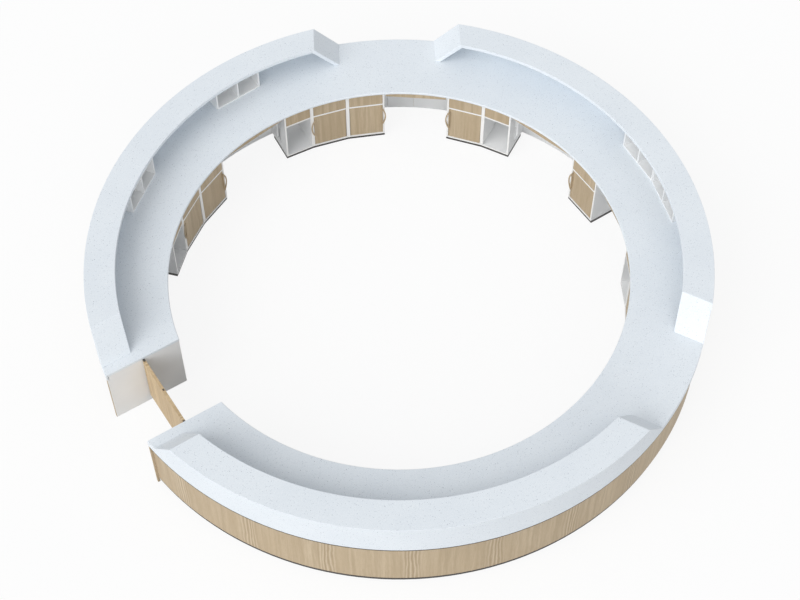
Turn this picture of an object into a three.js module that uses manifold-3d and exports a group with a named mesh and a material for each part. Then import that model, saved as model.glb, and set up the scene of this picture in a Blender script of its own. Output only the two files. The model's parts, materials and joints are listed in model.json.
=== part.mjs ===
// A free-standing ring-shaped reception desk, in millimetres, +Z up.
// The origin is the centre of the ring on the floor. A bearing is an angle in degrees,
// counter-clockwise from +X. The ring is three sections of 120 degrees, each with a low worktop and a
// raised visitor counter that slopes down to the worktop at both ends. One joint between
// two sections is an entrance, closed by a pair of swing gates.
import * as THREE from "three";
import { mergeVertices } from "three/addons/utils/BufferGeometryUtils.js";
import Module from "manifold-3d";

const wasm = await Module();
wasm.setup();

// Ring plan
const RING_RADIUS = 3042;
const WORKTOP_DEPTH = 772;
const COUNTER_DEPTH = 298;
const SECTION_ANGLE = 120;
const SECTION_FACETS = 30;
const ENTRANCE_BEARING = 212.7;
const ENTRANCE_HALF_WIDTH = 415;
const SEAM_GAP = 0.3;
const SEAT_GAP = 0.3;

// Heights and board thicknesses
const WORKTOP_HEIGHT = 750;
const WORKTOP_THICKNESS = 30;
const COUNTER_RISE = 308;
const COUNTER_THICKNESS = 40;
const FASCIA_THICKNESS = 20;
const FASCIA_DROP = 81;
const LOW_HALF_WIDTH = 515;
const LOW_HALF_WIDTH_TOP = 775;

// Outer body
const CLADDING_SETBACK = 22;
const CLADDING_THICKNESS = 18;
const SHADOW_GAP = 10;
const SKIRTING_HEIGHT = 60;
const SKIRTING_SETBACK = 12;
const SKIRTING_THICKNESS = 18;
const BODY_DEPTH = 315;
const LINING_THICKNESS = 18;
const RIB_PITCH = 12;
const RIB_THICKNESS = 18;
const SOLE_HEIGHT = 40;
const HEAD_RAIL_HEIGHT = 60;
const GABLE_BEARINGS = [238, 272.7, 307.4];
const GABLE_INSET = 30;
const END_PANEL_THICKNESS = 25;
const END_PANEL_INSET = 3;

// Swing gates
const GATE_SETBACK = 350;
const GATE_THICKNESS = 30;
const GATE_BOTTOM = 100;
const GATE_TOP_GAP = 5;
const GATE_MEETING_GAP = 3;
const GATE_SIDE_CLEARANCE = 2;
const PIVOT_PLATE_THICKNESS = 3;
const PIVOT_LUG_HEIGHT = 8;
const PIVOT_LUG_WIDTH = 20;
const PIVOT_RADIUS = 6;
const PIVOT_ENGAGEMENT = 18;
const PIVOT_CLEARANCE = 0.3;

// Pigeonhole units between worktop and counter, each set back from the counter's inner edge.
// A unit that stands beside another takes its bearing from it.
const PIGEONHOLE_UNITS = {
  left: { bearing: 160.5, setback: 13 },
  far_left: { bearing: 127.7, setback: 45 },
  right: { bearing: 28.05, setback: 45 },
  near_right: { beside: "right", setback: 45 },
};
const PIGEONHOLE_PAIR_GAP = 3.177;
const PIGEONHOLE_WIDTH = 546;
const PIGEONHOLE_DEPTH = 220;
const PIGEONHOLE_BOARD = 18;

// Cabinets below the worktop
const CABINET_SETBACK = 54;
const RIGHT_CABINET_SETBACK = 36;
const DOOR_UNIT_WIDTH = 400;
const BAY_UNIT_WIDTH = 320;
const CARCASS_BOARD = 18;
const CARCASS_BACK = 8;
const CARCASS_BACK_CLEARANCE = 3;
const CORNER_LAP = 1;
const PLINTH_HEIGHT = 35;
const PLINTH_SETBACK = 6;
const PLINTH_BACK_SETBACK = 60;
const DRAWER_TOP_GAP = 30;
const DRAWER_HEIGHT = 168;
const DRAWER_BOX_DROP = 50;
const DRAWER_BOARD = 12;
const DRAWER_BOTTOM = 8;
const DRAWER_SIDE_CLEARANCE = 0.8;
const DRAWER_BACK_CLEARANCE = 10;
const FRONT_BOARD = 18;
const FRONT_GAP = 2;
const DOOR_RECESS = 6;
const HINGE_RADIUS = 4;
const HINGE_CLEARANCE = 0.3;
const HINGE_ENGAGEMENT = 5;
const PULL_LENGTH = 280;
const PULL_RISE = 50;
const PULL_PROJECTION = 15;
const PULL_BAND = 13;
const PULL_LAP = 12;
const PULL_THICKNESS = 10;
const PULL_STANDOFF = 6;
const PULL_STEM_WIDTH = 22;
const PULL_STEM_LENGTH = 230;
const SLOT_WIDTH = 100;
const SLOT_RISE = 62;
const SLOT_SHELF_GAP = 10;
const SLOT_DISTANCE = 194;

// Straight aprons under the worktop edge, across the knee spaces
const APRON_THICKNESS = 18;
const APRON_HEIGHT = 70;
const APRON_SETBACK = 20;
const APRON_END_GAP = 15;

// Runs of cabinets, each from its clockwise end. A pull or a cable slot is on the side named.
const CABINET_RUNS = [
  { name: "far_left", start: 93.9, setback: CABINET_SETBACK, units: ["door right", "door left", "bay left"] },
  { name: "left", start: 142.2, setback: CABINET_SETBACK, units: ["door right", "door left", "bay left"] },
  { name: "far_right", start: 59.4, setback: CABINET_SETBACK, units: ["bay right", "door left"] },
  { name: "right", start: 28.5, setback: RIGHT_CABINET_SETBACK, units: ["door left"] },
  { name: "near_right", start: -9.8, setback: RIGHT_CABINET_SETBACK, units: ["door right", "bay left"] },
];

// Values worked out from the driving sizes
const WORKTOP_INNER_RADIUS = RING_RADIUS - WORKTOP_DEPTH;
const COUNTER_INNER_RADIUS = RING_RADIUS - COUNTER_DEPTH;
const LINING_RADIUS = RING_RADIUS - BODY_DEPTH;
const GATE_DISTANCE = WORKTOP_INNER_RADIUS + GATE_SETBACK;
const FASCIA_INNER_RADIUS = RING_RADIUS - FASCIA_THICKNESS;
const COUNTER_HEIGHT = WORKTOP_HEIGHT + COUNTER_RISE;
const FASCIA_BOTTOM = WORKTOP_HEIGHT - FASCIA_DROP;
const WORKTOP_UNDERSIDE = WORKTOP_HEIGHT - WORKTOP_THICKNESS;
const GATE_TOP = WORKTOP_UNDERSIDE - GATE_TOP_GAP;
const DRAWER_FRONT_TOP = WORKTOP_UNDERSIDE - DRAWER_TOP_GAP;
const DRAWER_SHELF_TOP = DRAWER_FRONT_TOP - DRAWER_HEIGHT;
const DRAWER_BOX_TOP = DRAWER_FRONT_TOP - DRAWER_BOX_DROP;
const BODY_TOP = WORKTOP_UNDERSIDE - SEAT_GAP;
const CLADDING_RADIUS = RING_RADIUS - CLADDING_SETBACK;
const CLADDING_INNER_RADIUS = CLADDING_RADIUS - CLADDING_THICKNESS;
const CLADDING_TOP = FASCIA_BOTTOM - SHADOW_GAP;
const SKIRTING_RADIUS = CLADDING_RADIUS - SKIRTING_SETBACK;
const SKIRTING_INNER_RADIUS = SKIRTING_RADIUS - SKIRTING_THICKNESS;
const LINING_OUTER_RADIUS = LINING_RADIUS + LINING_THICKNESS;
const BODY_HALF_GAP = ENTRANCE_HALF_WIDTH + END_PANEL_THICKNESS;
const FACET_ANGLE = SECTION_ANGLE / SECTION_FACETS;
const FACET_SHRINK = Math.cos(THREE.MathUtils.degToRad(FACET_ANGLE / 2));
const LOW_SLOPE = (LOW_HALF_WIDTH_TOP - LOW_HALF_WIDTH) / COUNTER_RISE;
const SLAB_OFFSET = COUNTER_THICKNESS * Math.hypot(1, LOW_SLOPE);
const SEAM_ANGLE = THREE.MathUtils.radToDeg(SEAM_GAP / 2 / WORKTOP_INNER_RADIUS);
const REACH = RING_RADIUS + COUNTER_HEIGHT;
const PIN_SIDES = 12;
const GATE_EDGE_FACETS = 6;
const PULL_FACETS = 10;

const SECTIONS = [
  { name: "left", start: ENTRANCE_BEARING - SECTION_ANGLE },
  { name: "right", start: ENTRANCE_BEARING - 2 * SECTION_ANGLE },
  { name: "front", start: ENTRANCE_BEARING },
];

function finish(color, roughness, metalness = 0) {
  return new THREE.MeshStandardMaterial({ color, roughness, metalness });
}
const STONE = finish(0xe9edf1, 0.45);
const WHITE_BOARD = finish(0xf1f1ef, 0.5);
const OAK = finish(0xc2a57c, 0.6);
const BLACK = finish(0x2b2a28, 0.6);
const PINE = finish(0xb99a6a, 0.8);
const STEEL = finish(0x1d1d1f, 0.4, 0.8);

// Solid made from a closed three.js geometry, so that it can be cut and joined
function solid(geometry) {
  const bare = new THREE.BufferGeometry();
  bare.setAttribute("position", geometry.getAttribute("position"));
  if (geometry.index) bare.setIndex(geometry.index);
  const merged = mergeVertices(bare, 1e-3);
  return new wasm.Manifold(
    new wasm.Mesh({
      numProp: 3,
      vertProperties: new Float32Array(merged.getAttribute("position").array),
      triVerts: new Uint32Array(merged.index.array),
    }),
  );
}

function meshOf(name, shape, material) {
  const data = shape.getMesh();
  const geometry = new THREE.BufferGeometry();
  geometry.setAttribute("position", new THREE.BufferAttribute(data.vertProperties, 3));
  geometry.setIndex(new THREE.BufferAttribute(data.triVerts, 1));
  geometry.computeVertexNormals();
  const mesh = new THREE.Mesh(geometry, material);
  mesh.name = name;
  return mesh;
}

function join(shapes) {
  return shapes.reduce((all, shape) => all.add(shape));
}

// Angle of rotation about Z that turns local +Y to the bearing and local +X clockwise of it
function turn(bearing) {
  return THREE.MathUtils.degToRad(bearing - 90);
}

function boxGeometry([x0, x1], [y0, y1], [z0, z1]) {
  const geometry = new THREE.BoxGeometry(x1 - x0, y1 - y0, z1 - z0);
  return geometry.translate((x0 + x1) / 2, (y0 + y1) / 2, (z0 + z1) / 2);
}

function box(xs, ys, zs, bearing = 90) {
  return solid(boxGeometry(xs, ys, zs).rotateZ(turn(bearing)));
}

function pin(x, y, [z0, z1], radius) {
  const geometry = new THREE.CylinderGeometry(radius, radius, z1 - z0, PIN_SIDES);
  return solid(geometry.rotateX(Math.PI / 2).translate(x, y, (z0 + z1) / 2));
}

// Ring sector of one section, with a rectangular cross-section. A cutter overruns both ends by a facet.
function sector(section, r0, r1, z0, z1, overrun = -SEAM_ANGLE) {
  const from = THREE.MathUtils.degToRad(section.start - overrun);
  const to = THREE.MathUtils.degToRad(section.start + SECTION_ANGLE + overrun);
  const facets = Math.round((SECTION_ANGLE + 2 * overrun) / FACET_ANGLE);
  const plan = new THREE.Shape();
  plan.absarc(0, 0, r1, from, to, false);
  plan.absarc(0, 0, r0, to, from, true);
  const options = { depth: z1 - z0, bevelEnabled: false, curveSegments: facets / 2 };
  return solid(new THREE.ExtrudeGeometry(plan, options).translate(0, 0, z0));
}

// Prism along the bearing, of an outline of [sideways, up] points
function radialPrism(bearing, points) {
  const outline = new THREE.Shape(points.map(([x, z]) => new THREE.Vector2(x, z)));
  const geometry = new THREE.ExtrudeGeometry(outline, { depth: REACH, bevelEnabled: false });
  return solid(geometry.rotateX(Math.PI / 2).translate(0, REACH, 0).rotateZ(turn(bearing)));
}

function entranceCut(halfWidth) {
  const top = COUNTER_HEIGHT + REACH;
  const points = [[-halfWidth, -REACH], [halfWidth, -REACH], [halfWidth, top], [-halfWidth, top]];
  return radialPrism(ENTRANCE_BEARING, points);
}

// Space above one low section, whose sides slope outwards; the offset moves both sides apart
function lowSpace(bearing, bottom, offset) {
  const halfWidth = (z) => LOW_HALF_WIDTH + offset + (z - WORKTOP_HEIGHT) * LOW_SLOPE;
  const top = COUNTER_HEIGHT + COUNTER_THICKNESS;
  return radialPrism(bearing, [
    [-halfWidth(bottom), bottom],
    [halfWidth(bottom), bottom],
    [halfWidth(top), top],
    [-halfWidth(top), top],
  ]);
}

function cutLowSpaces(section, shape, bottom, offset) {
  const ends = [section.start, section.start + SECTION_ANGLE];
  return ends.reduce((left, bearing) => left.subtract(lowSpace(bearing, bottom, offset)), shape);
}

// Worktop, counter shell and outer body of one section
function worktop(section) {
  const outer = FASCIA_INNER_RADIUS - SEAT_GAP;
  const slab = sector(section, WORKTOP_INNER_RADIUS, outer, WORKTOP_UNDERSIDE, WORKTOP_HEIGHT);
  return slab.subtract(entranceCut(ENTRANCE_HALF_WIDTH));
}

function counter(section) {
  const foot = WORKTOP_HEIGHT + SEAT_GAP;
  const inner = COUNTER_INNER_RADIUS;
  const block = sector(section, inner, RING_RADIUS, foot, COUNTER_HEIGHT);
  const ceiling = COUNTER_HEIGHT - COUNTER_THICKNESS;
  const below = WORKTOP_HEIGHT - COUNTER_THICKNESS;
  const room = sector(section, inner - COUNTER_THICKNESS, FASCIA_INNER_RADIUS, below, ceiling, FACET_ANGLE);
  const hollow = cutLowSpaces(section, room, below, SLAB_OFFSET);
  const band = sector(section, FASCIA_INNER_RADIUS, RING_RADIUS, FASCIA_BOTTOM, COUNTER_HEIGHT);
  const shell = block.subtract(hollow).add(band);
  const open = cutLowSpaces(section, shell, WORKTOP_HEIGHT, 0);
  return open.subtract(entranceCut(ENTRANCE_HALF_WIDTH));
}

function cladding(section) {
  const foot = SKIRTING_HEIGHT + SEAT_GAP;
  const skin = sector(section, CLADDING_INNER_RADIUS, CLADDING_RADIUS, foot, CLADDING_TOP);
  return skin.subtract(entranceCut(BODY_HALF_GAP + SEAT_GAP));
}

function skirting(section) {
  const board = sector(section, SKIRTING_INNER_RADIUS, SKIRTING_RADIUS, 0, SKIRTING_HEIGHT);
  return board.subtract(entranceCut(BODY_HALF_GAP + SEAT_GAP));
}

function lining(section) {
  const panel = sector(section, LINING_RADIUS, LINING_OUTER_RADIUS, 0, BODY_TOP);
  const inside = GABLE_BEARINGS.filter(
    (bearing) => bearing > section.start && bearing < section.start + SECTION_ANGLE,
  );
  const half = RIB_THICKNESS / 2;
  const depth = [WORKTOP_INNER_RADIUS + GABLE_INSET, LINING_RADIUS + LINING_THICKNESS / 2];
  const gables = inside.map((bearing) => box([-half, half], depth, [0, BODY_TOP], bearing));
  return join([panel, ...gables]).subtract(entranceCut(BODY_HALF_GAP + SEAT_GAP));
}

// Opening between two neighbouring ribs of the body frame, through its whole depth
function ribWindow(bearing) {
  const angle = THREE.MathUtils.degToRad(RIB_PITCH / 2);
  const half = RIB_THICKNESS / 2;
  const corner = (distance, side) => {
    const x = distance * Math.sin(angle) - half * Math.cos(angle);
    return new THREE.Vector2(side * x, distance * Math.cos(angle) + half * Math.sin(angle));
  };
  const near = LINING_RADIUS;
  const far = RING_RADIUS;
  const plan = new THREE.Shape([corner(near, -1), corner(near, 1), corner(far, 1), corner(far, -1)]);
  const depth = BODY_TOP - HEAD_RAIL_HEIGHT - SOLE_HEIGHT;
  const geometry = new THREE.ExtrudeGeometry(plan, { depth, bevelEnabled: false });
  return solid(geometry.translate(0, 0, SOLE_HEIGHT).rotateZ(turn(bearing)));
}

// Hidden frame that carries the worktop: sole, upright ribs and head rail, with a nailer for the fascia
function bodyFrame(section) {
  const inner = LINING_OUTER_RADIUS + SEAT_GAP;
  const soleOuter = SKIRTING_INNER_RADIUS - SEAT_GAP;
  const headOuter = CLADDING_INNER_RADIUS - SEAT_GAP;
  const nailerOuter = FASCIA_INNER_RADIUS - SEAT_GAP;
  const shoulder = SKIRTING_HEIGHT + SEAT_GAP;
  const nailerBottom = FASCIA_BOTTOM + SHADOW_GAP;
  let shape = sector(section, inner, nailerOuter, 0, BODY_TOP)
    .subtract(sector(section, soleOuter, RING_RADIUS, -SOLE_HEIGHT, shoulder, FACET_ANGLE))
    .subtract(sector(section, headOuter, RING_RADIUS, -SOLE_HEIGHT, nailerBottom, FACET_ANGLE));
  for (let angle = RIB_PITCH / 2; angle < SECTION_ANGLE; angle += RIB_PITCH) {
    shape = shape.subtract(ribWindow(section.start + angle));
  }
  return shape.subtract(entranceCut(BODY_HALF_GAP + SEAT_GAP));
}

// Panels that close the two ends of the body at the entrance; side is +1 clockwise, -1 the other way
function endPanel(side) {
  const xs = [ENTRANCE_HALF_WIDTH, BODY_HALF_GAP].map((x) => side * x).sort((a, b) => a - b);
  const worktopCorner = Math.sqrt(WORKTOP_INNER_RADIUS ** 2 - ENTRANCE_HALF_WIDTH ** 2);
  const inner = worktopCorner + END_PANEL_INSET;
  const behindFascia = Math.sqrt(CLADDING_RADIUS ** 2 - BODY_HALF_GAP ** 2);
  const outer = Math.sqrt(RING_RADIUS ** 2 - BODY_HALF_GAP ** 2);
  const upper = box(xs, [inner, behindFascia], [0, BODY_TOP]);
  return upper.add(box(xs, [inner, outer], [0, FASCIA_BOTTOM - SEAT_GAP]));
}

// Swing gate leaf: it turns about a vertical axis at its rounded end
const GATE_AXIS =
  ENTRANCE_HALF_WIDTH - PIVOT_PLATE_THICKNESS - GATE_SIDE_CLEARANCE - GATE_THICKNESS / 2;

function gateLeaf(side) {
  const half = GATE_THICKNESS / 2;
  const plan = new THREE.Shape();
  plan.absarc(GATE_AXIS, GATE_DISTANCE, half, -Math.PI / 2, Math.PI / 2, false);
  plan.lineTo(GATE_MEETING_GAP / 2, GATE_DISTANCE + half);
  plan.lineTo(GATE_MEETING_GAP / 2, GATE_DISTANCE - half);
  const depth = GATE_TOP - GATE_BOTTOM;
  const options = { depth, bevelEnabled: false, curveSegments: GATE_EDGE_FACETS };
  const geometry = new THREE.ExtrudeGeometry(plan, options).translate(0, 0, GATE_BOTTOM);
  if (side < 0) {
    geometry.translate(0, -GATE_DISTANCE, 0).rotateZ(Math.PI).translate(0, GATE_DISTANCE, 0);
  }
  const reach = PIVOT_ENGAGEMENT + PIVOT_CLEARANCE;
  const bore = (zs) => pin(side * GATE_AXIS, GATE_DISTANCE, zs, PIVOT_RADIUS + PIVOT_CLEARANCE);
  const lower = bore([GATE_BOTTOM - reach, GATE_BOTTOM + reach]);
  const upper = bore([GATE_TOP - reach, GATE_TOP + reach]);
  return solid(geometry).subtract(lower).subtract(upper);
}

function gatePivot(side) {
  const half = PIVOT_LUG_WIDTH / 2;
  const across = (from, to) => [side * from, side * to].sort((a, b) => a - b);
  const ys = [GATE_DISTANCE - half, GATE_DISTANCE + half];
  const back = ENTRANCE_HALF_WIDTH - SEAT_GAP;
  const face = ENTRANCE_HALF_WIDTH - PIVOT_PLATE_THICKNESS;
  const lowLug = [GATE_BOTTOM - SEAT_GAP - PIVOT_LUG_HEIGHT, GATE_BOTTOM - SEAT_GAP];
  const highLug = [GATE_TOP + SEAT_GAP, GATE_TOP + SEAT_GAP + PIVOT_LUG_HEIGHT];
  const lugXs = across(GATE_AXIS - half, back);
  const lowPin = [lowLug[0], GATE_BOTTOM + PIVOT_ENGAGEMENT];
  const highPin = [GATE_TOP - PIVOT_ENGAGEMENT, highLug[1]];
  return join([
    box(across(face, back), ys, [lowLug[0], highLug[1]]),
    box(lugXs, ys, lowLug),
    box(lugXs, ys, highLug),
    pin(side * GATE_AXIS, GATE_DISTANCE, lowPin, PIVOT_RADIUS),
    pin(side * GATE_AXIS, GATE_DISTANCE, highPin, PIVOT_RADIUS),
  ]);
}

// Bearing of a pigeonhole unit. One beside another stands clockwise of it, a gap away at the front corners.
function pigeonholeBearing({ bearing, beside, setback }) {
  if (!beside) return bearing;
  const radius = COUNTER_INNER_RADIUS + setback;
  const turn = 2 * Math.asin(PIGEONHOLE_WIDTH / 2 / radius) + PIGEONHOLE_PAIR_GAP / radius;
  return pigeonholeBearing(PIGEONHOLE_UNITS[beside]) - THREE.MathUtils.radToDeg(turn);
}

// Pigeonhole unit: an open box of boards with one upright in the middle
function pigeonholes(setback) {
  const half = PIGEONHOLE_WIDTH / 2;
  const board = PIGEONHOLE_BOARD;
  const front = Math.sqrt((COUNTER_INNER_RADIUS + setback) ** 2 - half ** 2);
  const bottom = WORKTOP_HEIGHT + SEAT_GAP;
  const top = COUNTER_HEIGHT - COUNTER_THICKNESS - SEAT_GAP;
  const ys = [front, front + PIGEONHOLE_DEPTH];
  const through = [front - board, front + PIGEONHOLE_DEPTH + board];
  const opening = (x0, x1) => box([x0, x1], through, [bottom + board, top - board]);
  return box([-half, half], ys, [bottom, top])
    .subtract(opening(-half + board, -board / 2))
    .subtract(opening(board / 2, half - board));
}

// Cabinet units. In a unit's own frame +Y points away from the user and +X to the user's right.
function unitOf(words, bearing, radius) {
  const [kind, sideName] = words.split(" ");
  const width = kind === "door" ? DOOR_UNIT_WIDTH : BAY_UNIT_WIDTH;
  const half = width / 2;
  const front = Math.sqrt(radius ** 2 - half ** 2);
  const backRadius = LINING_RADIUS * FACET_SHRINK - CARCASS_BACK_CLEARANCE;
  const back = Math.sqrt(backRadius ** 2 - half ** 2);
  const spread = THREE.MathUtils.radToDeg(2 * Math.asin(half / radius));
  const side = sideName === "right" ? 1 : -1;
  return { kind, side, half, front, back, spread, bearing: bearing + spread / 2 };
}

function unitsOf(run) {
  const units = [];
  let bearing = run.start;
  for (const words of run.units) {
    const unit = unitOf(words, bearing, WORKTOP_INNER_RADIUS + run.setback);
    units.push(unit);
    bearing += unit.spread;
  }
  return units;
}

const CARCASS_FLOOR = PLINTH_HEIGHT + SEAT_GAP + CARCASS_BOARD;
const SHELF_UNDERSIDE = DRAWER_SHELF_TOP - CARCASS_BOARD;
const DOOR_BOTTOM = CARCASS_FLOOR + FRONT_GAP;
const DOOR_TOP = SHELF_UNDERSIDE - FRONT_GAP;
const PULL_HEIGHT = (DOOR_BOTTOM + DOOR_TOP) / 2 + PULL_RISE;

// Where a door's upright hinge axis stands in its unit's frame
function hingeOf(unit) {
  const inside = unit.half - CARCASS_BOARD - FRONT_GAP - FRONT_BOARD / 2;
  return { x: -unit.side * inside, y: unit.front + DOOR_RECESS + FRONT_BOARD / 2 };
}

function carcass(unit) {
  const { half, front, back } = unit;
  const foot = PLINTH_HEIGHT + SEAT_GAP;
  const inner = half - CARCASS_BOARD;
  const wide = [-half - CORNER_LAP / 2, half + CORNER_LAP / 2];
  const deep = [front, back];
  const clear = [front - CARCASS_BOARD, back - CARCASS_BACK];
  let shape = box(wide, deep, [foot, BODY_TOP])
    .subtract(box([-inner, inner], clear, [CARCASS_FLOOR, SHELF_UNDERSIDE]))
    .subtract(box([-inner, inner], clear, [DRAWER_SHELF_TOP, BODY_TOP + CARCASS_BOARD]));
  if (unit.kind === "door") {
    const { x, y } = hingeOf(unit);
    const reach = HINGE_ENGAGEMENT + FRONT_GAP + HINGE_CLEARANCE;
    const bore = HINGE_RADIUS + HINGE_CLEARANCE;
    const depth = reach - FRONT_GAP;
    shape = shape
      .subtract(pin(x, y, [CARCASS_FLOOR - depth, CARCASS_FLOOR + FRONT_GAP], bore))
      .subtract(pin(x, y, [SHELF_UNDERSIDE - FRONT_GAP, SHELF_UNDERSIDE + depth], bore));
  } else {
    const xs = [unit.side * (inner - CARCASS_BOARD), unit.side * (half + CARCASS_BOARD)];
    const middle = front + SLOT_DISTANCE;
    const ys = [middle - SLOT_WIDTH / 2, middle + SLOT_WIDTH / 2];
    const zs = [CARCASS_FLOOR + SLOT_RISE, SHELF_UNDERSIDE - SLOT_SHELF_GAP];
    shape = shape.subtract(box(xs.sort((a, b) => a - b), ys, zs));
  }
  return shape;
}

function plinth(unit) {
  const { half, front, back } = unit;
  const wide = [-half - CORNER_LAP, half + CORNER_LAP];
  const ys = [front + PLINTH_SETBACK, back - PLINTH_BACK_SETBACK];
  const board = CARCASS_BOARD;
  const hollow = box(
    [-half + board, half - board],
    [ys[0] + board, ys[1] - board],
    [-board, PLINTH_HEIGHT + board],
  );
  return box(wide, ys, [0, PLINTH_HEIGHT]).subtract(hollow);
}

// One body for a whole run: the units stand side by side and meet at their front corners
function runBody(units, shapeOf) {
  const turned = units.map((unit) => {
    const mesh = meshOf("", shapeOf(unit), WHITE_BOARD);
    return solid(mesh.geometry.rotateZ(turn(unit.bearing)));
  });
  return join(turned);
}

function drawer(unit) {
  const inner = unit.half - CARCASS_BOARD;
  const face = inner - FRONT_GAP;
  const side = inner - DRAWER_SIDE_CLEARANCE;
  const bottom = DRAWER_SHELF_TOP + SEAT_GAP;
  const boxBack = unit.back - CARCASS_BACK - DRAWER_BACK_CLEARANCE;
  const boxFront = unit.front + FRONT_BOARD;
  const front = box(
    [-face, face],
    [unit.front, boxFront + SEAT_GAP],
    [DRAWER_SHELF_TOP + FRONT_GAP, DRAWER_FRONT_TOP],
  );
  const body = box([-side, side], [boxFront, boxBack], [bottom, DRAWER_BOX_TOP]);
  const hollow = box(
    [-side + DRAWER_BOARD, side - DRAWER_BOARD],
    [boxFront + DRAWER_BOARD, boxBack - DRAWER_BOARD],
    [bottom + DRAWER_BOTTOM, DRAWER_BOX_TOP + DRAWER_BOARD],
  );
  return body.subtract(hollow).add(front);
}

// Bow-shaped pull: a flat band that laps the door with a stem and bends out past the cabinet side
function pull(unit) {
  const free = unit.half - CARCASS_BOARD - FRONT_GAP;
  const base = free - PULL_LAP;
  const bulge = unit.half + PULL_PROJECTION - base;
  const halfLength = PULL_LENGTH / 2;
  const radius = (halfLength ** 2 + bulge ** 2) / (2 * bulge);
  const centre = base + bulge - radius;
  const inside = radius - PULL_BAND;
  const spread = Math.acos((base - centre) / radius);
  const insideSpread = Math.acos((base - centre) / inside);
  const outline = new THREE.Shape();
  outline.absarc(centre, PULL_HEIGHT, radius, -spread, spread, false);
  outline.absarc(centre, PULL_HEIGHT, inside, insideSpread, -insideSpread, true);
  const options = { depth: PULL_THICKNESS, bevelEnabled: false, curveSegments: PULL_FACETS };
  const faceY = unit.front - PULL_STANDOFF;
  const plate = new THREE.ExtrudeGeometry(outline, options).rotateX(Math.PI / 2);
  plate.translate(0, PULL_THICKNESS / 2, 0);
  if (unit.side < 0) plate.rotateZ(Math.PI);
  plate.translate(0, faceY - PULL_THICKNESS / 2, 0);
  const stemXs = [base, base + PULL_STEM_WIDTH - PULL_LAP].map((x) => unit.side * x);
  const stem = box(
    stemXs.sort((a, b) => a - b),
    [faceY - PULL_THICKNESS / 2, unit.front + DOOR_RECESS + FRONT_BOARD / 2],
    [PULL_HEIGHT - PULL_STEM_LENGTH / 2, PULL_HEIGHT + PULL_STEM_LENGTH / 2],
  );
  return solid(plate).add(stem);
}

function door(unit) {
  const free = unit.half - CARCASS_BOARD - FRONT_GAP;
  const { x, y } = hingeOf(unit);
  const half = FRONT_BOARD / 2;
  const xs = [x, unit.side * free].sort((a, b) => a - b);
  const zs = [DOOR_BOTTOM, DOOR_TOP];
  const pinZs = [CARCASS_FLOOR - HINGE_ENGAGEMENT, SHELF_UNDERSIDE + HINGE_ENGAGEMENT];
  const board = box(xs, [y - half, y + half], zs);
  const edge = pin(x, y, zs, half);
  const hinge = pin(x, y, pinZs, HINGE_RADIUS);
  return join([board, edge, hinge, pull(unit)]);
}

// Apron across a knee space, between the bearings of its two ends
function apron(from, to) {
  const halfAngle = THREE.MathUtils.degToRad((to - from) / 2);
  const front = WORKTOP_INNER_RADIUS + APRON_SETBACK;
  const half = front * Math.tan(halfAngle) - APRON_END_GAP;
  return box([-half, half], [front, front + APRON_THICKNESS], [WORKTOP_UNDERSIDE - APRON_HEIGHT, BODY_TOP]);
}

const desk = new THREE.Group();

function stand(bearing, meshes) {
  const group = new THREE.Group();
  group.rotation.z = turn(bearing);
  group.add(...meshes);
  desk.add(group);
}

for (const section of SECTIONS) {
  desk.add(
    meshOf(`worktop_${section.name}`, worktop(section), STONE),
    meshOf(`counter_${section.name}`, counter(section), STONE),
    meshOf(`cladding_${section.name}`, cladding(section), OAK),
    meshOf(`skirting_${section.name}`, skirting(section), BLACK),
    meshOf(`lining_${section.name}`, lining(section), WHITE_BOARD),
    meshOf(`body_frame_${section.name}`, bodyFrame(section), PINE),
  );
}

stand(ENTRANCE_BEARING, [
  meshOf("end_panel_left", endPanel(1), WHITE_BOARD),
  meshOf("end_panel_front", endPanel(-1), WHITE_BOARD),
  meshOf("gate_leaf_left", gateLeaf(1), OAK),
  meshOf("gate_leaf_front", gateLeaf(-1), OAK),
  meshOf("gate_pivot_left", gatePivot(1), STEEL),
  meshOf("gate_pivot_front", gatePivot(-1), STEEL),
]);

for (const [name, unit] of Object.entries(PIGEONHOLE_UNITS)) {
  const solid = pigeonholes(unit.setback);
  stand(pigeonholeBearing(unit), [meshOf(`pigeonholes_${name}`, solid, WHITE_BOARD)]);
}

const RUN_ENDS = {};
for (const run of CABINET_RUNS) {
  const units = unitsOf(run);
  const last = units[units.length - 1];
  RUN_ENDS[run.name] = { from: run.start, to: last.bearing + last.spread / 2 };
  desk.add(
    meshOf(`carcass_${run.name}`, runBody(units, carcass), WHITE_BOARD),
    meshOf(`plinth_${run.name}`, runBody(units, plinth), BLACK),
  );
  units.forEach((unit, index) => {
    const name = `${run.name}_${index + 1}`;
    const fronts = [meshOf(`drawer_${name}`, drawer(unit), OAK)];
    if (unit.kind === "door") fronts.push(meshOf(`door_${name}`, door(unit), OAK));
    stand(unit.bearing, fronts);
  });
}

// Knee spaces lie between neighbouring runs
const KNEE_SPACES = [
  ["far", "far_right", "far_left"],
  ["left", "far_left", "left"],
  ["right", "right", "far_right"],
  ["near_right", "near_right", "right"],
];
for (const [name, clockwiseRun, otherRun] of KNEE_SPACES) {
  const from = RUN_ENDS[clockwiseRun].to;
  const to = RUN_ENDS[otherRun].from;
  stand((from + to) / 2, [meshOf(`apron_${name}`, apron(from, to), OAK)]);
}

export default desk;
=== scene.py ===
"""Looks of a ring-shaped reception desk, in metres, +Z up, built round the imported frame.

The ring is three sections with a low worktop and a raised counter each. Long boards are modelled
straight, with x along the ring and y as the radius, and are then wrapped round it.
A bearing is an angle in radians, counter-clockwise from +X.
"""

import itertools
import json
import math

import bmesh
import bpy
from mathutils import Matrix, Vector


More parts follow.
